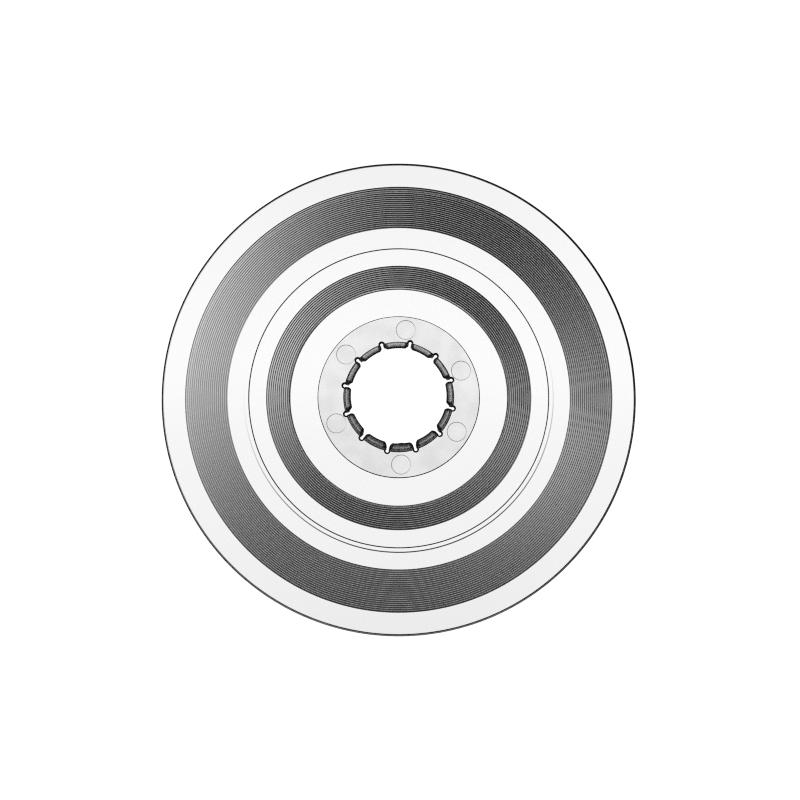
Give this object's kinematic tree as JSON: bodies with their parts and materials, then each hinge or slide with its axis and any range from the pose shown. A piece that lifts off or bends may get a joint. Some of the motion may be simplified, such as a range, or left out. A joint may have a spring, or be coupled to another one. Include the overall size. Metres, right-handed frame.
{
  "type": "bicycle spoke protector disc",
  "caption": "Clear terraced plastic disc with bands of fine ring grooves and a sprung collar of leaf fingers round its open bore, which clips round a rear hub behind the sprockets.",
  "frame": {"origin": "on the disc's axis, in the plane that the back of the rim rests on", "axes": "+Z along the axis, away from the spokes; +X three degrees clockwise of the first finger"},
  "size_m": [0.165, 0.165, 0.0141],
  "materials": {
    "clear_disc": "clear, polished, with a lightly frosted hub",
    "clear_finger": "clear, lightly frosted"
  },
  "bodies": {
    "disc": {"guard_disc": "clear_disc"},
    "hub_finger_01": {"hub_finger_01": "clear_finger"},
    "hub_finger_02": {"hub_finger_02": "clear_finger"},
    "hub_finger_03": {"hub_finger_03": "clear_finger"},
    "hub_finger_04": {"hub_finger_04": "clear_finger"},
    "hub_finger_05": {"hub_finger_05": "clear_finger"},
    "hub_finger_06": {"hub_finger_06": "clear_finger"},
    "hub_finger_07": {"hub_finger_07": "clear_finger"},
    "hub_finger_08": {"hub_finger_08": "clear_finger"},
    "hub_finger_09": {"hub_finger_09": "clear_finger"},
    "hub_finger_10": {"hub_finger_10": "clear_finger"},
    "hub_finger_11": {"hub_finger_11": "clear_finger"},
    "hub_finger_12": {"hub_finger_12": "clear_finger"}
  },
  "joints": [
    {"name": "hub_finger_01_flex", "type": "hinge", "parent": "disc", "child": "hub_finger_01", "pos_m": [0.01823, 0.00096, 0.00685], "axis": [-0.0523, 0.9986, 0], "range_deg": [-3, 10], "stiffness_Nm_per_rad": 0.7},
    {"name": "hub_finger_02_flex", "type": "hinge", "parent": "disc", "child": "hub_finger_02", "pos_m": [0.01531, 0.00994, 0.00685], "axis": [-0.5446, 0.8387, 0], "range_deg": [-3, 10], "stiffness_Nm_per_rad": 0.7},
    {"name": "hub_finger_03_flex", "type": "hinge", "parent": "disc", "child": "hub_finger_03", "pos_m": [0.00829, 0.01626, 0.00685], "axis": [-0.891, 0.454, 0], "range_deg": [-3, 10], "stiffness_Nm_per_rad": 0.7},
    {"name": "hub_finger_04_flex", "type": "hinge", "parent": "disc", "child": "hub_finger_04", "pos_m": [-0.00096, 0.01823, 0.00685], "axis": [-0.9986, -0.0523, 0], "range_deg": [-3, 10], "stiffness_Nm_per_rad": 0.7},
    {"name": "hub_finger_05_flex", "type": "hinge", "parent": "disc", "child": "hub_finger_05", "pos_m": [-0.00994, 0.01531, 0.00685], "axis": [-0.8387, -0.5446, 0], "range_deg": [-3, 10], "stiffness_Nm_per_rad": 0.7},
    {"name": "hub_finger_06_flex", "type": "hinge", "parent": "disc", "child": "hub_finger_06", "pos_m": [-0.01626, 0.00829, 0.00685], "axis": [-0.454, -0.891, 0], "range_deg": [-3, 10], "stiffness_Nm_per_rad": 0.7},
    {"name": "hub_finger_07_flex", "type": "hinge", "parent": "disc", "child": "hub_finger_07", "pos_m": [-0.01823, -0.00096, 0.00685], "axis": [0.0523, -0.9986, 0], "range_deg": [-3, 10], "stiffness_Nm_per_rad": 0.7},
    {"name": "hub_finger_08_flex", "type": "hinge", "parent": "disc", "child": "hub_finger_08", "pos_m": [-0.01531, -0.00994, 0.00685], "axis": [0.5446, -0.8387, 0], "range_deg": [-3, 10], "stiffness_Nm_per_rad": 0.7},
    {"name": "hub_finger_09_flex", "type": "hinge", "parent": "disc", "child": "hub_finger_09", "pos_m": [-0.00829, -0.01626, 0.00685], "axis": [0.891, -0.454, 0], "range_deg": [-3, 10], "stiffness_Nm_per_rad": 0.7},
    {"name": "hub_finger_10_flex", "type": "hinge", "parent": "disc", "child": "hub_finger_10", "pos_m": [0.00096, -0.01823, 0.00685], "axis": [0.9986, 0.0523, 0], "range_deg": [-3, 10], "stiffness_Nm_per_rad": 0.7},
    {"name": "hub_finger_11_flex", "type": "hinge", "parent": "disc", "child": "hub_finger_11", "pos_m": [0.00994, -0.01531, 0.00685], "axis": [0.8387, 0.5446, 0], "range_deg": [-3, 10], "stiffness_Nm_per_rad": 0.7},
    {"name": "hub_finger_12_flex", "type": "hinge", "parent": "disc", "child": "hub_finger_12", "pos_m": [0.01626, -0.00829, 0.00685], "axis": [0.454, 0.891, 0], "range_deg": [-3, 10], "stiffness_Nm_per_rad": 0.7}
  ]
}
